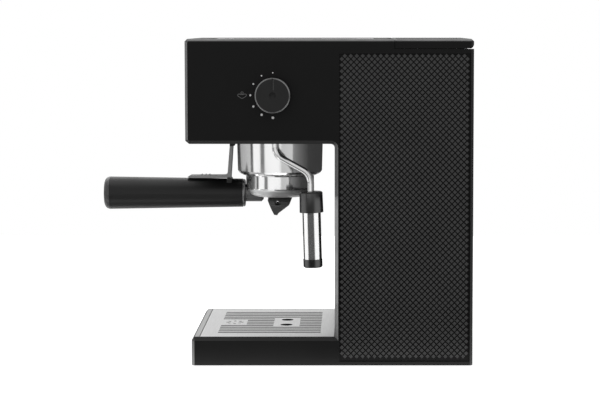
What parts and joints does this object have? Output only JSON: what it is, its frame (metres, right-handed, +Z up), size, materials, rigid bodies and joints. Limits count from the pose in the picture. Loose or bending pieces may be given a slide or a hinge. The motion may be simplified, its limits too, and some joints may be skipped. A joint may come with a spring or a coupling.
{
  "type": "espresso machine",
  "caption": "Compact pump espresso machine with a C-shaped casing, side steam knob, swivelling steam wand, bayonet portafilter, drip tray and lift-out rear water tank.",
  "frame": {"origin": "point where the brew axis meets the table, in the middle plane of the casing", "axes": "+X to the side with the steam knob, +Y from the front to the rear, +Z up"},
  "size_m": [0.1912, 0.3472, 0.3],
  "materials": {
    "casing_black": "satin black with soft sheen",
    "knurled_black": "diamond knurl, satin peaks",
    "brushed_steel": "fine brushed grain",
    "sheet_steel": "plain zinc-plated steel",
    "black_rubber": "matt rubber",
    "clear_plastic": "clear smoked copolyester",
    "grey_plastic": "moulded plastic",
    "seal_rubber": "silicone seal",
    "polished_steel": "mirror polish",
    "cast_aluminium": "as cast, machined faces",
    "dark_chrome": "polished",
    "handle_black": "satin black",
    "handle_cap_grey": "semi-gloss end cap",
    "brass": "machined",
    "grip_rubber": "satin silicone",
    "knob_black": "satin",
    "pump_body": "lacquered laminations",
    "silicone_hose": "translucent silicone",
    "copper_pipe": "drawn copper",
    "circuit_board": "solder resist"
  },
  "bodies": {
    "casing": {"side_panel_right": "casing_black", "side_panel_left": "casing_black", "texture_panel_right": "knurled_black", "texture_panel_left": "knurled_black", "top_cover": "casing_black", "cup_plate": "brushed_steel", "head_front_panel": "casing_black", "head_bottom_plate": "casing_black", "column_front_panel": "casing_black", "rear_panel": "casing_black", "base_pan": "casing_black", "inner_frame": "sheet_steel", "rubber_feet": "black_rubber", "casing_screws": "sheet_steel", "cord_gland": "black_rubber", "tank_seat": "grey_plastic", "tank_seal": "seal_rubber", "group_cover": "polished_steel", "group_head": "cast_aluminium", "group_gasket": "black_rubber", "shower_screen": "polished_steel", "shower_screw": "polished_steel", "wand_nut": "brass", "steam_valve": "brass", "boiler": "cast_aluminium", "thermostats": "grey_plastic", "pump": "pump_body", "pump_mounts": "black_rubber", "suction_hose": "silicone_hose", "pressure_hose": "silicone_hose", "steam_pipe": "copper_pipe", "control_board": "circuit_board"},
    "tank": {"water_tank": "clear_plastic", "tank_valve": "grey_plastic"},
    "lid": {"tank_lid": "casing_black", "lid_hinge_pins": "sheet_steel"},
    "tray": {"drip_tray": "casing_black", "tray_trim": "sheet_steel"},
    "grate": {"drip_grate": "brushed_steel"},
    "portafilter": {"portafilter_body": "polished_steel", "filter_basket": "polished_steel", "basket_spring": "sheet_steel", "twin_spout": "dark_chrome", "handle_grip": "handle_black", "handle_cap": "handle_cap_grey", "handle_ferrule": "dark_chrome", "handle_bolt": "sheet_steel", "clip_pin": "dark_chrome"},
    "clip": {"basket_clip": "dark_chrome", "clip_tip": "black_rubber"},
    "wand": {"wand_tube": "polished_steel", "wand_grip": "grip_rubber", "wand_sleeve": "polished_steel", "wand_tip": "grip_rubber"},
    "knob": {"steam_knob": "knob_black", "valve_spindle": "brass"},
    "needle": {"valve_needle": "sheet_steel"},
    "power_key": {"power_button": "knob_black"},
    "brew_key": {"brew_button": "knob_black"},
    "steam_key": {"steam_button": "knob_black"}
  },
  "joints": [
    {"name": "portafilter_turn", "type": "hinge", "parent": "casing", "child": "portafilter", "pos_m": [0, 0, 0.18], "axis": [0, 0, 1], "range_deg": [-45, 0]},
    {"name": "clip_flip", "type": "hinge", "parent": "portafilter", "child": "clip", "pos_m": [0, -0.0482, 0.1654], "axis": [-1, 0, 0], "range_deg": [0, 1.5]},
    {"name": "wand_swivel", "type": "hinge", "parent": "casing", "child": "wand", "pos_m": [0.062, -0.002, 0.21], "axis": [0, 0, 1], "range_deg": [-150, 15]},
    {"name": "knob_turn", "type": "hinge", "parent": "casing", "child": "knob", "pos_m": [0.09, -0.003, 0.249], "axis": [1, 0, 0], "range_deg": [0, 180]},
    {"name": "needle_slide", "type": "slide", "parent": "casing", "child": "needle", "axis": [1, 0, 0], "range_m": [0, 0.0016]},
    {"name": "tank_lift", "type": "slide", "parent": "casing", "child": "tank", "axis": [0, 0, 1], "range_m": [0, 0.2]},
    {"name": "lid_open", "type": "hinge", "parent": "tank", "child": "lid", "pos_m": [0, 0.175, 0.2956], "axis": [-1, 0, 0], "range_deg": [0, 90]},
    {"name": "tray_slide", "type": "slide", "parent": "casing", "child": "tray", "axis": [0, -1, 0], "range_m": [0, 0.12]},
    {"name": "grate_lift", "type": "slide", "parent": "tray", "child": "grate", "axis": [0, 0, 1], "range_m": [0, 0.05]},
    {"name": "power_press", "type": "slide", "parent": "casing", "child": "power_key", "axis": [0, 1, 0], "range_m": [0, 0.0018], "stiffness_N_per_m": 400},
    {"name": "brew_press", "type": "slide", "parent": "casing", "child": "brew_key", "axis": [0, 1, 0], "range_m": [0, 0.0018], "stiffness_N_per_m": 400},
    {"name": "steam_press", "type": "slide", "parent": "casing", "child": "steam_key", "axis": [0, 1, 0], "range_m": [0, 0.0018], "stiffness_N_per_m": 400}
  ],
  "couplings": [
    {"joint": "needle_slide", "follows": "knob_turn", "m_per_rad": 0.0005}
  ]
}
